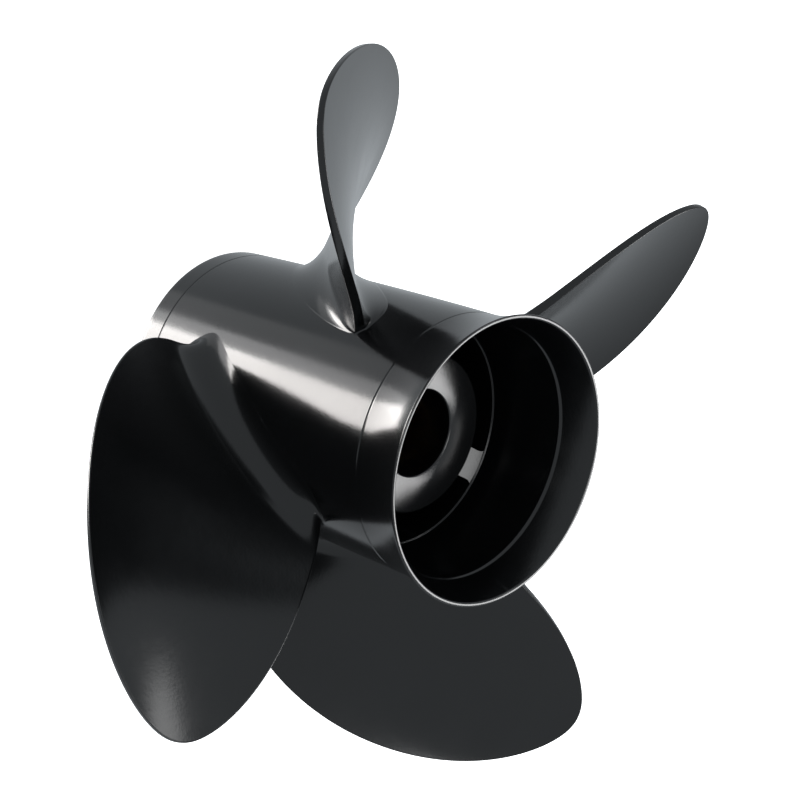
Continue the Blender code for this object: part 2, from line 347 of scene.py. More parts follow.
@dataclass(frozen=True)
class Effects:
    """Node groups that several finishes share."""

    sprayed: bpy.types.NodeTree
    wear_and_highlight: bpy.types.NodeTree
    # Edge mask: painted highlight along convex edges of the paint, wear on rubber and brass.
    mottle: bpy.types.NodeTree

    @classmethod
    def make(cls) -> "Effects":
        """Build the three groups once."""
        return cls(sprayed_surface_group(), edge_wear_and_highlight_group(), mottle_group())


@dataclass(frozen=True)
class Finish:
    """One material made of the shared effects."""

    name: str
    deep: tuple[float, float, float]
    light: tuple[float, float, float]
    worn_and_highlight: tuple[float, float, float]
    metallic: float
    roughness: tuple[float, float]
    ripple_scale: float
    ripple_depth: float
    bump: float
    wear_and_highlight_reach: float

    def make(self, effects: Effects) -> bpy.types.Material:
        """Build the material.

        Args:
            effects: The shared node groups.

        Returns:
            The material.
        """
        material = bpy.data.materials.new(self.name)
        material.use_nodes = True
        graph = Graph(material.node_tree)
        shader = material.node_tree.nodes["Principled BSDF"]
        tone = graph.add("ShaderNodeGroup", node_tree=effects.mottle)
        # Mask of convex edges: a painted highlight along the edges of the black paint, wear on the rubber
        # and brass.
        wear_and_highlight = graph.add("ShaderNodeGroup", node_tree=effects.wear_and_highlight)
        wear_and_highlight.inputs["Reach"].default_value = self.wear_and_highlight_reach
        sprayed = graph.add("ShaderNodeGroup", node_tree=effects.sprayed)
        sprayed.inputs["Scale"].default_value = self.ripple_scale
        sprayed.inputs["Depth"].default_value = self.ripple_depth
        colour = graph.mix_colour(tone.outputs["Tone"], self.deep, self.light)
        # Convex edges take the lighter edge colour: a painted highlight on the black paint, wear on the
        # rubber and brass.
        colour = graph.mix_colour(wear_and_highlight.outputs["Wear_and_highlight"], colour, self.worn_and_highlight)
        graph.wire(colour, shader.inputs["Base Color"])
        roughness = graph.spread(tone.outputs["Tone"], (0.0, 1.0), self.roughness)
        graph.wire(roughness, shader.inputs["Roughness"])
        bump = graph.add("ShaderNodeBump")
        bump.inputs["Strength"].default_value = self.bump
        bump.inputs["Distance"].default_value = BUMP_DISTANCE
        graph.wire(sprayed.outputs["Height"], bump.inputs["Height"])
        graph.wire(bump.outputs["Normal"], shader.inputs["Normal"])
        shader.inputs["Metallic"].default_value = self.metallic
        return material


PAINT = Finish(
    name="black_satin_paint",
    deep=(0.0016, 0.0018, 0.0020),
    light=(0.0026, 0.0028, 0.0032),
    # Edge colour and its reach below: a painted highlight along the convex edges of the paint.
    worn_and_highlight=(0.05, 0.05, 0.052),
    metallic=0.0,
    roughness=(0.15, 0.19),
    ripple_scale=1100.0,
    ripple_depth=0.05,
    bump=0.25,
    wear_and_highlight_reach=0.25,
)
RUBBER = Finish(
    name="bushing_rubber",
    deep=(0.010, 0.010, 0.010),
    light=(0.020, 0.020, 0.020),
    worn_and_highlight=(0.035, 0.035, 0.034),
    metallic=0.0,
    roughness=(0.62, 0.78),
    ripple_scale=1600.0,
    ripple_depth=0.12,
    bump=0.4,
    wear_and_highlight_reach=0.5,
)
BRASS = Finish(
    name="machined_brass",
    deep=(0.60, 0.41, 0.16),
    light=(0.72, 0.52, 0.23),
    worn_and_highlight=(0.85, 0.68, 0.36),
    metallic=1.0,
    roughness=(0.24, 0.36),
    ripple_scale=2200.0,
    ripple_depth=0.05,
    bump=0.2,
    wear_and_highlight_reach=0.6,
)


# Sub-assemblies of the propeller


@dataclass
class Barrel:
    """Hollow barrel that carries the blades and lets the exhaust out at its flared rim."""

    length: float = 0.1615
    front_radius: float = 0.0497
    waist_radius: float = 0.0527
    rim_radius: float = 0.0570
    waist_z: float = 0.1381
    groove_depth: float = 0.0002
    groove_half_width: float = 0.0005
    groove_floor: float = 0.25
    groove_shoulder: float = 1.3
    front_groove_z: float = 0.0103
    rim_thickness: float = 0.0018
    step_z: float = 0.1471
    step_radius: float = 0.0506
    step: float = 0.0008
    ledge_z: float = 0.1136
    ledge_radius: float = 0.0468
    ledge: float = 0.0008
    front_cavity_radius: float = 0.0458
    end_round: float = 0.0006
    inner_round: float = 0.0003
    segments: int = 288
    end_steps: int = 4
    curve_steps: int = 20

    def outer_radius(self, z: float) -> float:
        """Outer radius at a height, with a slow taper forward and a flare at the rim.

        Args:
            z: Height above the front end face.

        Returns:
            The radius there.
        """
        if z <= self.waist_z:
            rise = z / self.waist_z
            return self.front_radius + (self.waist_radius - self.front_radius) * rise * (2.0 - rise)
        flare = (z - self.waist_z) / (self.length - self.waist_z)
        return self.waist_radius + (self.rim_radius - self.waist_radius) * flare**2

    def groove(self, z: float) -> list[tuple[float, float]]:
        """Profile of a fine turned groove, front side first.

        Args:
            z: Height of its middle.

        Returns:
            Radius and height of its corners.
        """
        half = ((self.groove_floor, self.groove_depth), (1.0, 0.0), (self.groove_shoulder, 0.0))
        sides = [(-side, depth) for side, depth in reversed(half)] + list(half)
        places = [(z + side * self.groove_half_width, depth) for side, depth in sides]
        return [(self.outer_radius(place) - depth, place) for place, depth in places]

    def run(self, start: float, end: float, steps: int) -> list[tuple[float, float]]:
        """Outer profile points strictly between two heights.

        Args:
            start: Lower height.
            end: Upper height.
            steps: How many parts the stretch has.

        Returns:
            Radius and height of each point.
        """
        heights = [start + (end - start) * i / steps for i in range(1, steps)]
        return [(self.outer_radius(z), z) for z in heights]

    def profile(self) -> list[tuple[float, float]]:
        """Closed section of the barrel wall.

        Returns:
            Radius and height of each corner, outside from the front end first.
        """
        points = [(self.outer_radius(0.0), 0.0)]
        edge = self.groove_half_width * self.groove_shoulder
        points += self.run(0.0, self.front_groove_z - edge, self.end_steps)
        points += self.groove(self.front_groove_z)
        points += self.run(self.front_groove_z + edge, self.waist_z - edge, self.curve_steps)
        points += self.groove(self.waist_z)
        points += self.run(self.waist_z + edge, self.length, self.curve_steps)
        points += [(self.rim_radius, self.length)]
        return points + self.inner_corners()

    def inner_corners(self) -> list[tuple[float, float]]:
        """Corners of the bore side, from the rim to the front end.

        Returns:
            Radius and height of each corner.
        """
        return [
            (self.rim_radius - self.rim_thickness, self.length),
            (self.step_radius, self.step_z),
            (self.step_radius - self.step, self.step_z - self.step),
            (self.ledge_radius, self.ledge_z),
            (self.ledge_radius - self.ledge, self.ledge_z),
            (self.front_cavity_radius, 0.0),
        ]

    def build(self, paint: bpy.types.Material) -> bpy.types.Object:
        """Spin the wall and round its corners.

        Args:
            paint: The casting's paint.

        Returns:
            The barrel.
        """
        bm = turned(self.profile(), self.segments)
        corners = self.inner_corners()
        ends = [(self.rim_radius, self.length), corners[0], (self.outer_radius(0.0), 0.0), corners[-1]]
        round_rings(bm, ends, self.end_round, steps=4)
        round_rings(bm, corners[1:5], self.inner_round, steps=3)
        barrel = finish_piece("exhaust_barrel", bm, paint)
        hand_over(barrel, Slot.PAINT, "barrel")
        return barrel


def spline_curvature(values: list[float]) -> np.ndarray:
    """Second differences of an evenly spaced cubic spline.

    Args:
        values: What the spline passes through.

    Returns:
        One second difference for each value.
    """
    count = len(values)
    system = np.zeros((count, count))
    known = np.zeros(count)
    system[0, :3] = (1.0, -2.0, 1.0)
    system[-1, -3:] = (1.0, -2.0, 1.0)
    for i in range(1, count - 1):
        system[i, i - 1 : i + 2] = (1.0, 4.0, 1.0)
        known[i] = 6.0 * (values[i - 1] - 2.0 * values[i] + values[i + 1])
    return np.linalg.solve(system, known)


def spline_value(values: list[float], curvature: np.ndarray, place: float) -> float:
    """Value of a spline at a place from 0 to 1 along it, and a little beyond.

    Args:
        values: What the spline passes through.
        curvature: Its second differences.
        place: Where to read it.

    Returns:
        The value there.
    """
    along = place * (len(values) - 1)
    span = min(max(int(math.floor(along)), 0), len(values) - 2)
    part = along - span
    rest = 1.0 - part
    straight = rest * values[span] + part * values[span + 1]
    bend = (rest**3 - rest) * curvature[span] + (part**3 - part) * curvature[span + 1]
    return straight + bend / 6.0


def quarter_round(fillet: float, lift: float) -> float:
    """Spread of a fillet at a height above the surface that it meets.

    Args:
        fillet: Its radius.
        lift: The height.

    Returns:
        How far it stands out there.
    """
    if lift >= fillet:
        return 0.0
    rise = fillet - max(lift, 0.0)
    return fillet - math.sqrt(max(fillet**2 - rise**2, 0.0))


def smooth_step(value: float) -> float:
    """Ease a value from 0 to 1."""
    value = min(max(value, 0.0), 1.0)
    return value * value * (3.0 - 2.0 * value)


@dataclass
class Blade:
    """Raked, pitched blade with a blunt trailing edge and wide root fillets.

    A place round the outline runs from 0 at the leading edge's root over the tip to 1 at the
    trailing edge's root. Angles are in degrees in the outline and run towards the leading edge.
    """

    barrel: Barrel
    count: int = 4
    root_pitch: float = 0.513
    pitch_loss: float = 0.133
    pitch_bulge: float = 0.060
    reference_z: float = 0.0824
    rake: float = 0.290
    rake_curve: float = 0.178
    outline: tuple[tuple[float, float], ...] = (
        (0.0559, 34.8),
        (0.0895, 30.9),
        (0.1189, 20.8),
        (0.1421, 7.7),
        (0.1587, -6.7),
        (0.1624, -18.3),
        (0.1479, -24.3),
        (0.1089, -27.4),
        (0.0559, -23.3),
    )
    root_thickness: float = 0.0074
    tip_thickness: float = 0.0027
    trailing_thickness: float = 0.0038
    leading_thickness: float = 0.0014
    root_hollow: float = 0.0007
    tip_hollow: float = 0.0013
    pressure_fillet: float = 0.0150
    suction_fillet: float = 0.0105
    pressure_fillet_aft_end: float = 8.0
    pressure_fillet_front_end: float = 18.0
    suction_fillet_end: float = 2.6
    edge_fillet: float = 0.0020
    edge_round: float = 0.00045
    most_round: float = 0.48
    root_sink: float = 0.0008
    leading_swell: float = 0.25
    hollow_fade: float = 8.0
    spine_start: float = 0.024
    spine_end: float = 0.84
    radius_steps: int = 76
    flare_steps: int = 18
    flare_crowding: float = 1.8
    face_steps: int = 26
    face_crowding: float = 1.5
    corner_steps: int = 4
    overrun: float = 0.12
    tip_search: tuple[float, float] = (0.3, 0.9)
    tip_search_steps: int = 6000
    table_steps: int = 1200
    radii: list[float] = field(init=False)
    angles: list[float] = field(init=False)

    def __post_init__(self) -> None:
        """Prepare the outline's splines and tables."""
        self.radii = [radius for radius, _ in self.outline]
        self.angles = [math.radians(angle) for _, angle in self.outline]
        self.radius_bend = spline_curvature(self.radii)
        self.angle_bend = spline_curvature(self.angles)
        self.foot_radius = (self.barrel.front_radius + self.barrel.waist_radius) / 2.0
        places = np.linspace(*self.tip_search, self.tip_search_steps + 1)
        heights = [spline_value(self.radii, self.radius_bend, place) for place in places]
        self.tip_place = float(places[int(np.argmax(heights))])
        self.tip_radius = max(heights)
        self.span = self.tip_radius - self.foot_radius
        self.leading = self.edge_table(-self.overrun)
        self.trailing = self.edge_table(1.0 + self.overrun)

    def edge_table(self, start: float) -> tuple[list[float], list[float]]:
        """Radius and angle along one side of the outline.

        Args:
            start: Place beyond the root where the side starts.

        Returns:
            Rising radii and the angles there.
        """
        places = np.linspace(start, self.tip_place, self.table_steps)
        radii = [spline_value(self.radii, self.radius_bend, place) for place in places]
        angles = [spline_value(self.angles, self.angle_bend, place) for place in places]
        return list(np.maximum.accumulate(radii)), angles

    def leading_angle(self, radius: float) -> float:
        """Angle of the leading edge at a radius."""
        return float(np.interp(radius, *self.leading))

    def trailing_angle(self, radius: float) -> float:
        """Angle of the trailing edge at a radius."""
        return float(np.interp(radius, *self.trailing))

    def pitch(self, radius: float) -> float:
        """Pitch of the pressure face, highest half way out.

        Args:
            radius: Where on the blade.

        Returns:
            The pitch there.
        """
        out = radius - self.barrel.rim_radius
        share = out / (self.tip_radius - self.barrel.rim_radius)
        return self.root_pitch - self.pitch_loss * out + self.pitch_bulge * share * (1.0 - share)

    def face_z(self, radius: float, angle: float) -> float:
        """Height of the pressure face before it is hollowed: a raked line and a helix.

        Args:
            radius: Where on the blade.
            angle: Angle in radians clockwise seen from astern.

        Returns:
            The height there.
        """
        out = radius - self.barrel.rim_radius
        line = self.reference_z + self.rake * out + self.rake_curve * out**2
        return line - self.pitch(radius) * angle / math.tau

    def thickness(self, radius: float, share: float) -> float:
        """Thickness from the trailing edge to the leading edge.

        Args:
            radius: Where on the blade.
            share: 0 at the trailing edge and 1 at the leading edge.

        Returns:
            The thickness there.
        """
        out = (radius - self.barrel.rim_radius) / (self.tip_radius - self.barrel.rim_radius)
        out = min(max(out, 0.0), 1.0)
        most = self.root_thickness + (self.tip_thickness - self.root_thickness) * out
        trailing = self.trailing_thickness + (self.tip_thickness - self.trailing_thickness) * out
        near_tip = smooth_step(1.0 - (1.0 - out) / self.leading_swell)
        leading = self.leading_thickness + (self.tip_thickness - self.leading_thickness) * near_tip
        edges = trailing + (leading - trailing) * share
        swell = 1.0 - (2.0 * share - 1.0) ** 2
        return edges + (most - edges) * swell

    def hollow(self, lift: float, share: float) -> float:
        """How far both faces are dished towards the suction side, fading out at the tip.

        Args:
            lift: Height above the blade's foot.
            share: 0 at the trailing edge and 1 at the leading edge.

        Returns:
            The depth of the dish there.
        """
        out = max(lift, 0.0) / self.span
        deepest = self.root_hollow + (self.tip_hollow - self.root_hollow) * out
        return deepest * (1.0 - out**self.hollow_fade) * 4.0 * share * (1.0 - share)

    def point(self, radius: float, angle: float, depth: float, share: float) -> Vector:
        """Place of a point of the blade.

        Args:
            radius: Distance from the shaft axis, before the foot is fitted to the barrel.
            angle: Angle clockwise seen from astern.
            depth: Distance behind the pressure face, or less than 0 in front of it.
            share: 0 at the trailing edge and 1 at the leading edge.

        Returns:
            The point, with the root fillets spread.
        """
        lift = radius - self.foot_radius
        slope = math.atan2(self.pitch(radius), math.tau * radius)
        start = self.trailing_angle(radius)
        chord = max(radius * (self.leading_angle(radius) - start) / math.cos(slope), LEAST_CHORD)
        share = min(max(share, 0.0), 1.0)
        half = self.thickness(radius, share) / 2.0
        side = min(max((half - depth) / half, -1.0), 1.0)
        fillet, end = self.suction_fillet, self.suction_fillet_end
        if side > 0.0:
            fillet = self.pressure_fillet
            end = self.pressure_fillet_aft_end if share < 0.5 else self.pressure_fillet_front_end
        flare = quarter_round(fillet, lift) * (1.0 - abs(2.0 * share - 1.0) ** end)
        out = -depth - self.hollow(lift, share) + flare * side
        spread = quarter_round(self.edge_fillet, lift)
        along = radius * (angle - start) / math.cos(slope)
        along = -spread + along * (chord + 2.0 * spread) / chord
        arc = radius * start + along * math.cos(slope) + out * math.sin(slope)
        z = self.face_z(radius, start) - along * math.sin(slope) + out * math.cos(slope)
        foot_share = 1.0 - min(max(lift, 0.0) / self.pressure_fillet, 1.0)
        reach = radius + foot_share * (self.barrel.outer_radius(z) - self.foot_radius)
        turn = arc / radius
        return Vector((reach * math.sin(turn), reach * math.cos(turn), z))

    def station_radii(self) -> list[float]:
        """Radii of the rows of points, close together in the fillet and at the tip.

        Returns:
            Rising radii, from just inside the barrel to the tip.
        """
        rows = [self.foot_radius - self.root_sink]
        for i in range(self.flare_steps):
            rise = (i / self.flare_steps) ** self.flare_crowding
            rows.append(self.foot_radius + self.pressure_fillet * rise)
        start = self.foot_radius + self.pressure_fillet
        rest = self.radius_steps - len(rows)
        for i in range(rest + 1):
            reach = 1.0 - (1.0 - i / rest) ** 2
            rows.append(start + (self.tip_radius - start) * reach)
        return rows

    def spine(self, radius: float) -> tuple[float, float]:
        """Radius and angle of the line where the two halves of a face meet.

        Args:
            radius: Radius of the row at the edge.

        Returns:
            Radius and angle of the row's inner end.
        """
        start = self.foot_radius + self.spine_start
        if radius > start:
            share = (radius - start) / (self.tip_radius - start)
            radius = start + (self.tip_radius - start) * (share - (1.0 - self.spine_end) * share**2)
        return radius, (self.leading_angle(radius) + self.trailing_angle(radius)) / 2.0

    def rows(self) -> list[list[tuple[float, float, float]]]:
        """Radius, angle and depth of every point, row by row round the outline.

        Returns:
            One row for each place round the outline, from the pressure face over the edge
            to the suction face.
        """
        radii = self.station_radii()
        edge = [(radius, self.leading_angle(radius)) for radius in radii]
        edge += [(radius, self.trailing_angle(radius)) for radius in reversed(radii[:-1])]
        surface = [self.bare(radius, angle) for radius, angle in edge]
        rows = []
        for i, (radius, angle) in enumerate(edge):
            before, after = surface[max(i - 1, 0)], surface[min(i + 1, len(edge) - 1)]
            inner = self.spine(radius)
            inward = self.inward(radius, angle, after - before, inner)
            rows.append(self.row(radius, angle, inward, inner))
        return rows

    def bare(self, radius: float, angle: float) -> Vector:
        """Point of the pressure face without fillets."""
        return Vector((radius * math.sin(angle), radius * math.cos(angle), self.face_z(radius, angle)))

    def inward(
        self, radius: float, angle: float, tangent: Vector, inner: tuple[float, float]
    ) -> tuple[float, float]:
        """Step across the face, square to the outline.

        Args:
            radius: Radius of the outline point.
            angle: Its angle.
            tangent: Direction of the outline there.
            inner: Radius and angle of the row's inner end.

        Returns:
            Change of radius and angle for each metre inwards.
        """
        here = self.bare(radius, angle)
        along_radius = (self.bare(radius + SLOPE_STEP, angle) - here) / SLOPE_STEP
        along_angle = (self.bare(radius, angle + SLOPE_STEP) - here) / SLOPE_STEP
        normal = along_radius.cross(along_angle).normalized()
        step = normal.cross(tangent.normalized())
        if step.dot(self.bare(*inner) - here) < 0.0:
            step = -step
        system = np.array(
            [
                [along_radius.dot(along_radius), along_radius.dot(along_angle)],
                [along_radius.dot(along_angle), along_angle.dot(along_angle)],
            ]
        )
        known = np.array([along_radius.dot(step), along_angle.dot(step)])
        change = np.linalg.solve(system, known)
        return float(change[0]), float(change[1])

    def row(
        self, radius: float, angle: float, inward: tuple[float, float], inner: tuple[float, float]
    ) -> list[tuple[float, float, float]]:
        """Points from the pressure side's inner end round the edge to the suction side's.

        Args:
            radius: Radius of the outline point.
            angle: Its angle.
            inward: Change of radius and angle for each metre inwards.
            inner: Radius and angle of the inner end.

        Returns:
            Radius, angle and share of the thickness for each point.
        """
        middle = (self.leading_angle(radius) + self.trailing_angle(radius)) / 2.0
        thick = self.thickness(radius, 0.0 if angle < middle else 1.0)
        turn = min(self.edge_round, thick * self.most_round)
        start = (radius + inward[0] * turn, angle + inward[1] * turn)
        face = []
        for step in range(self.face_steps):
            share = (1.0 - step / self.face_steps) ** self.face_crowding
            face.append(tuple(a + (b - a) * share for a, b in zip(start, inner)))
        corner = []
        for step in range(self.corner_steps + 1):
            bend = math.pi / 2.0 * step / self.corner_steps
            corner.append((turn * (1.0 - math.sin(bend)), turn * (1.0 - math.cos(bend))))
        points = [(r, a, 0.0) for r, a in face]
        bent = [(back, depth / thick) for back, depth in corner]
        bent += [(back, 1.0 - depth / thick) for back, depth in reversed(corner)]
        points += [(radius + inward[0] * back, angle + inward[1] * back, depth) for back, depth in bent]
        points += [(r, a, 1.0) for r, a in reversed(face)]
        return points

    def skin(self) -> bmesh.types.BMesh:
        """Map a grid round the blade and close it along the middle of both faces.

        Returns:
            The blade's skin, with a foot that follows the barrel's wall.
        """
        rows = self.rows()
        bm = bmesh.new()
        across = len(rows) - 1
        along = len(rows[0]) - 1
        bmesh.ops.create_grid(bm, x_segments=across, y_segments=along, size=0.5)
        placed = {}
        for vert in bm.verts:
            i = round((vert.co.x + 0.5) * across)
            j = round((vert.co.y + 0.5) * along)
            placed[i, j] = vert
            radius, angle, depth_share = rows[i][j]
            start, end = self.trailing_angle(radius), self.leading_angle(radius)
            share = (angle - start) / max(end - start, LEAST_ANGLE)
            share = min(max(share, 0.0), 1.0)
            depth = depth_share * self.thickness(radius, share)
            vert.co = self.point(radius, angle, depth, share)
        for i in (0, across):
            for j in range(along // 2):
                corners = ((i, j), (i, j + 1), (i, along - j - 1), (i, along - j))
                bm.faces.new([placed[corner] for corner in corners])
        bmesh.ops.remove_doubles(bm, verts=bm.verts[:], dist=MERGE_DISTANCE)
        return bm

    def build(self, paint: bpy.types.Material) -> list[bpy.types.Object]:
        """Build the four blades, evenly turned about the shaft axis.

        Args:
            paint: The casting's paint.

        Returns:
            The blades.
        """
        blades = []
        first = self.skin()
        for i in range(self.count):
            bm = first.copy()
            turn = Matrix.Rotation(-math.tau * i / self.count, 3, "Z")
            bmesh.ops.rotate(bm, verts=bm.verts[:], cent=(0.0, 0.0, 0.0), matrix=turn)
            blade = finish_piece(f"cast_blade_{i + 1}", bm, paint)
            hand_over(blade, Slot.PAINT, f"blade_{i + 1}")
            blades.append(blade)
        first.free()
        return blades


@dataclass
class InnerHub:
    """Inner hub with a plain aft face and a rounded bore edge."""

    aft_z: float = 0.1182
    front_z: float = 0.0100
    radius: float = 0.0324
    draft: float = 0.0006
    edge: float = 0.0010
    bore_radius: float = 0.0172
    bore_edge: float = 0.0009
    dish: float = math.radians(3.0)
    seat_radius: float = 0.0225
    seat_z: float = 0.0800
    segments: int = 192

    def lip_z(self) -> float:
        """Height of the bore's aft edge, which lies a little below the rim of the face."""
        return self.aft_z - (self.radius - self.bore_radius) * math.tan(self.dish)

    def profile(self) -> list[tuple[float, float]]:
        """Closed section of the hub wall.

        Returns:
            Radius and height of each corner.
        """
        middle = (self.aft_z + self.front_z) / 2.0
        return [
            (self.bore_radius, self.lip_z()),
            (self.radius, self.aft_z),
            (self.radius + self.draft, middle),
            (self.radius, self.front_z),
            (self.seat_radius, self.front_z),
            (self.seat_radius, self.seat_z),
            (self.bore_radius, self.seat_z),
        ]

    def build(self, paint: bpy.types.Material) -> bpy.types.Object:
        """Spin the hub and round its edges.

        Args:
            paint: The casting's paint.

        Returns:
            The hub.
        """
        bm = turned(self.profile(), self.segments)
        round_rings(bm, [(self.bore_radius, self.lip_z())], self.bore_edge, steps=5)
        round_rings(bm, [(self.radius, self.aft_z), (self.radius, self.front_z)], self.edge, steps=4)
        round_rings(bm, [(self.seat_radius, self.front_z)], self.edge, steps=3)
        hub = finish_piece("bushing_hub", bm, paint)
        hand_over(hub, Slot.PAINT, "inner_hub")
        return hub


@dataclass
class Ribs:
    """Three ribs that hold the inner hub in the barrel, widening where they meet both."""

    barrel: Barrel
    hub: InnerHub
    count: int = 3
    turn: float = math.radians(129.0)
    front_z: float = 0.0160
    width: float = 0.0125
    fillet: float = 0.0026
    hub_overlap: float = 0.0012
    barrel_overlap: float = 0.0004
    below_ledge: float = 0.0002
    tilt: float = math.radians(21.0)
    bend_steps: int = 6

    def side(self) -> list[tuple[float, float]]:
        """Half outline of a rib seen along the shaft, from the hub to the barrel.

        Returns:
            Radius and half width of each point.
        """
        narrow = self.width / 2.0
        inner = self.hub.radius
        outer = self.barrel.ledge_radius - self.barrel.ledge
        curve = []
        for step in range(self.bend_steps + 1):
            bend = math.pi / 2.0 * step / self.bend_steps
            curve.append((self.fillet * (1.0 - math.cos(bend)), self.fillet * (1.0 - math.sin(bend))))
        points = [(inner - self.hub_overlap, narrow + self.fillet)]
        points += [(inner + rise, narrow + spread) for rise, spread in curve]
        points += [(outer - rise, narrow + spread) for rise, spread in reversed(curve)]
        points.append((outer + self.barrel_overlap, narrow + self.fillet))
        return points

    def build(self, paint: bpy.types.Material) -> list[bpy.types.Object]:
        """Extrude the ribs and slope their aft face.

        Args:
            paint: The casting's paint.

        Returns:
            The ribs.
        """
        ribs = []
        side = self.side()
        outline = side + [(radius, -across) for radius, across in reversed(side)]
        height = self.barrel.ledge_z - self.below_ledge - self.front_z
        outer = side[-1][0]
        for i in range(self.count):
            bm = bmesh.new()
            corners = [bm.verts.new((across, radius, self.front_z)) for radius, across in outline]
            base = bm.faces.new(corners)
            lifted = bmesh.ops.extrude_face_region(bm, geom=[base])
            top = [item for item in lifted["geom"] if isinstance(item, bmesh.types.BMVert)]
            bmesh.ops.translate(bm, verts=top, vec=(0.0, 0.0, height))
            for vert in top:
                vert.co.z -= (outer - vert.co.y) * math.tan(self.tilt)
            turn = Matrix.Rotation(-self.turn - math.tau * i / self.count, 3, "Z")
            bmesh.ops.rotate(bm, verts=bm.verts[:], cent=(0.0, 0.0, 0.0), matrix=turn)
            rib = finish_piece(f"hub_rib_{i + 1}", bm, paint)
            hand_over(rib, Slot.PAINT, f"rib_{i + 1}")
            ribs.append(rib)
        return ribs


@dataclass
class Bushing:
    """Rubber bushing pressed into the hub from the front."""

    outer_radius: float = 0.0222
    inner_radius: float = 0.0158
    front_z: float = 0.0180
    aft_z: float = 0.0797
    chamfer: float = 0.0020
    segments: int = 144

    def build(self, rubber: bpy.types.Material) -> bpy.types.Object:
        """Spin the bushing and chamfer its front edge.

        Args:
            rubber: Its rubber.

        Returns:
            The bushing.
        """
        profile = [
            (self.inner_radius, self.front_z),
            (self.outer_radius, self.front_z),
            (self.outer_radius, self.aft_z),
            (self.inner_radius, self.aft_z),
        ]
        bm = turned(profile, self.segments)
        round_rings(bm, [(self.outer_radius, self.front_z)], self.chamfer, steps=5)
        bushing = finish_piece("pressed_bushing", bm, rubber)
        hand_over(bushing, Slot.RUBBER, "rubber_bushing")
        return bushing


@dataclass
class Sleeve:
    """Brass sleeve whose splined bore takes the propeller shaft."""

    front_z: float = 0.0120
    aft_z: float = 0.0860
    radius: float = 0.0155
    rim_round: float = 0.0004
    rim_angle: float = 1.2
    teeth: int = 15
    root_radius: float = 0.0129
    tip_radius: float = 0.0117
    flank: float = 0.28
    points_per_tooth: int = 12

    def bore_radius(self, share: float) -> float:
        """Radius of the bore at a share of one tooth, 0 to 1.

        Args:
            share: Place within the tooth and its gap.

        Returns:
            The radius there.
        """
        rise = smooth_step((0.5 - abs(2.0 * share - 1.0)) / self.flank + 0.5)
        return self.root_radius + (self.tip_radius - self.root_radius) * rise

    def build(self, brass: bpy.types.Material) -> bpy.types.Object:
        """Lay the front ring between the round outside and the splined bore, and extrude it.

        Args:
            brass: Its metal.

        Returns:
            The sleeve.
        """
        bm = bmesh.new()
        count = self.teeth * self.points_per_tooth
        outer, inner = [], []
        for i in range(count):
            turn = math.tau * i / count
            share = (i % self.points_per_tooth) / self.points_per_tooth
            for ring, radius in ((outer, self.radius), (inner, self.bore_radius(share))):
                ring.append(bm.verts.new((radius * math.cos(turn), radius * math.sin(turn), self.front_z)))
        for i in range(count):
            bm.faces.new((outer[i - 1], outer[i], inner[i], inner[i - 1]))
        lifted = bmesh.ops.extrude_face_region(bm, geom=bm.faces[:])
        top = [item for item in lifted["geom"] if isinstance(item, bmesh.types.BMVert)]
        bmesh.ops.translate(bm, verts=top, vec=(0.0, 0.0, self.aft_z - self.front_z))
        rims = [
            edge
            for edge in bm.edges
            if len(edge.link_faces) == 2 and edge.calc_face_angle() > self.rim_angle
            and abs(edge.verts[0].co.z - edge.verts[1].co.z) < MERGE_DISTANCE
        ]
        bmesh.ops.bevel(
            bm,
            geom=rims,
            offset=self.rim_round,
            offset_type="OFFSET",
            affect="EDGES",
            segments=2,
            profile=0.5,
            material=-1,
        )
        sleeve = finish_piece("spline_sleeve", bm, brass)
        hand_over(sleeve, Slot.BRASS, "splined_sleeve")
        return sleeve


# Studio


@dataclass(frozen=True)
class Softbox:
    """Area light seen from the part in one direction."""

    name: str
    azimuth: float
    elevation: float
    width: float
    height: float
    radiance: float
    distance: float = 1.0
    colour: tuple[float, float, float] = (1.0, 1.0, 1.0)

    def place(self, target: Vector) -> bpy.types.Object:
        """Put the light up, turned to the part.

        Args:
            target: Middle of the part.

        Returns:
            The light.
        """
        turn = math.radians(self.azimuth)
        rise = math.radians(self.elevation)
        towards = Vector((math.cos(rise) * math.cos(turn), math.cos(rise) * math.sin(turn), math.sin(rise)))
        lamp = bpy.data.lights.new(self.name, "AREA")
        lamp.shape = "RECTANGLE"
        lamp.size = self.width
        lamp.size_y = self.height
        lamp.energy = self.radiance * math.pi * self.width * self.height
        lamp.color = self.colour
        thing = bpy.data.objects.new(self.name, lamp)
        thing.location = target + towards * self.distance
        thing.rotation_euler = towards.to_track_quat("Z", "Y").to_euler()
        thing.visible_camera = False
        bpy.context.scene.collection.objects.link(thing)
        return thing


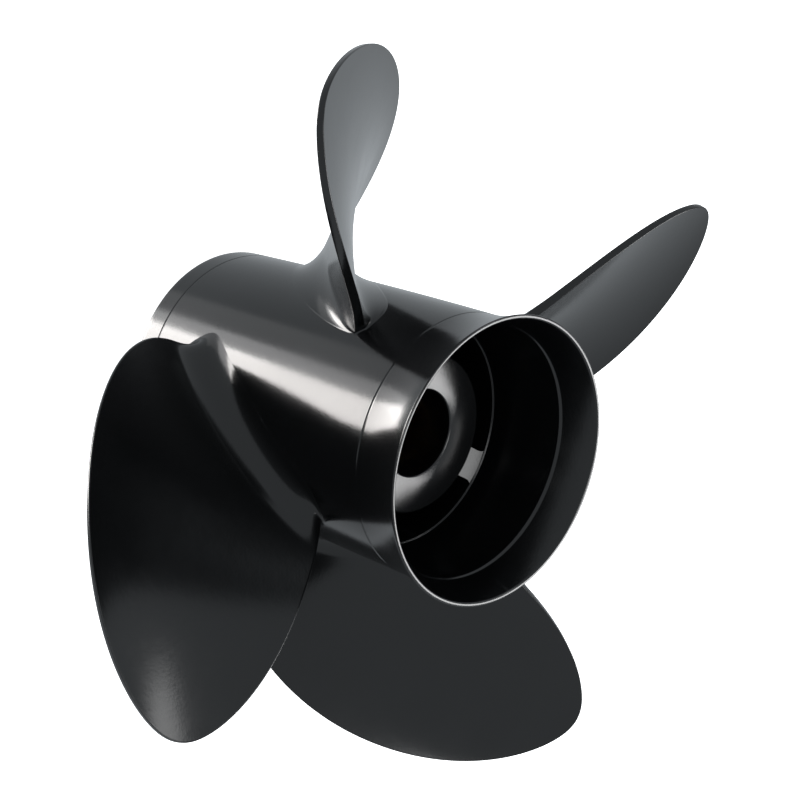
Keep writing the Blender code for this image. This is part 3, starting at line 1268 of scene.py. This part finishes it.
@dataclass
class Studio:
    """Pale floor, soft lights and the camera."""

    target: Vector = field(default_factory=lambda: Vector((0.0, 0.0, 0.08)))
    camera_place: tuple[float, float, float] = (-0.4797, 0.3063, 0.6264)
    camera_turn: tuple[float, float, float] = (-19.325, -44.118, -4.825)
    lens: float = 87.975
    sensor: float = 36.0
    floor_half: float = 6.0
    floor_drop: float = 0.0002
    floor_glow: float = 1.2
    floor_roughness: float = 0.9
    floor_deep: tuple[float, float, float] = (0.90, 0.90, 0.90)
    floor_light: tuple[float, float, float] = (0.92, 0.92, 0.92)
    clip_start: float = 0.01
    surround: tuple[float, float, float] = (0.56, 0.60, 0.63)
    softboxes: tuple[Softbox, ...] = (
        Softbox("band_light", 147.0, -52.0, 0.34, 0.62, 15.0, colour=(1.0, 0.965, 0.94)),
        Softbox("band_feather", 127.0, -52.0, 0.20, 0.62, 3.2),
        Softbox("band_tail", 108.0, -52.0, 0.30, 0.62, 0.5),
        Softbox("rim_light", -32.0, 40.0, 0.34, 0.34, 10.0),
        Softbox("overhead_strip", -32.0, 85.0, 0.24, 0.50, 5.0),
        Softbox("left_light", 22.0, 50.0, 0.22, 0.16, 4.0),
    )

    def build_floor(self) -> bpy.types.Object:
        """Lay a wide white floor under the part.

        Returns:
            The floor.
        """
        bm = bmesh.new()
        bmesh.ops.create_grid(bm, x_segments=8, y_segments=8, size=self.floor_half)
        bmesh.ops.translate(bm, verts=bm.verts[:], vec=(0.0, 0.0, -self.floor_drop))
        mesh = bpy.data.meshes.new("floor")
        bm.to_mesh(mesh)
        bm.free()
        floor = bpy.data.objects.new("floor", mesh)
        bpy.context.scene.collection.objects.link(floor)
        material = bpy.data.materials.new("white_floor")
        material.use_nodes = True
        graph = Graph(material.node_tree)
        shader = material.node_tree.nodes["Principled BSDF"]
        place = graph.add("ShaderNodeTexCoord").outputs["Object"]
        cloud = graph.noise(place, 3.0, 2.0).outputs["Fac"]
        pale = graph.mix_colour(cloud, self.floor_deep, self.floor_light)
        graph.wire(pale, shader.inputs["Base Color"])
        shader.inputs["Roughness"].default_value = self.floor_roughness
        shader.inputs["Emission Color"].default_value = (1.0, 1.0, 1.0, 1.0)
        shader.inputs["Emission Strength"].default_value = self.floor_glow
        mesh.materials.append(material)
        floor.visible_glossy = False
        floor.visible_diffuse = False
        floor.visible_shadow = False
        return floor

    def light(self) -> None:
        """Set the surround and put up the softboxes."""
        world = bpy.data.worlds.new("studio")
        world.use_nodes = True
        background = world.node_tree.nodes["Background"]
        background.inputs["Color"].default_value = (*self.surround, 1.0)
        background.inputs["Strength"].default_value = 1.0
        bpy.context.scene.world = world
        for softbox in self.softboxes:
            softbox.place(self.target)

    def set_camera(self) -> bpy.types.Object:
        """Put the camera at the photograph's angle.

        Returns:
            The camera.
        """
        lens = bpy.data.cameras.new("camera")
        lens.lens = self.lens
        lens.sensor_width = self.sensor
        lens.clip_start = self.clip_start
        camera = bpy.data.objects.new("camera", lens)
        camera.location = self.camera_place
        camera.rotation_euler = Euler([math.radians(angle) for angle in self.camera_turn], "XYZ")
        bpy.context.scene.collection.objects.link(camera)
        bpy.context.scene.camera = camera
        return camera

    def build(self) -> None:
        """Set up the floor, the lights, the camera and a plain colour response."""
        self.build_floor()
        self.light()
        self.set_camera()
        bpy.context.scene.view_settings.view_transform = "Standard"


def main() -> None:
    """Build the propeller over the frame and report each piece."""
    logging.basicConfig(level=logging.INFO, format="%(message)s")
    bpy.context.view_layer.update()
    effects = Effects.make()
    paint = PAINT.make(effects)
    barrel = Barrel()
    barrel.build(paint)
    Blade(barrel).build(paint)
    hub = InnerHub()
    hub.build(paint)
    Ribs(barrel, hub).build(paint)
    Bushing().build(RUBBER.make(effects))
    Sleeve().build(BRASS.make(effects))
    Studio().build()


if __name__ == "__main__":
    main()
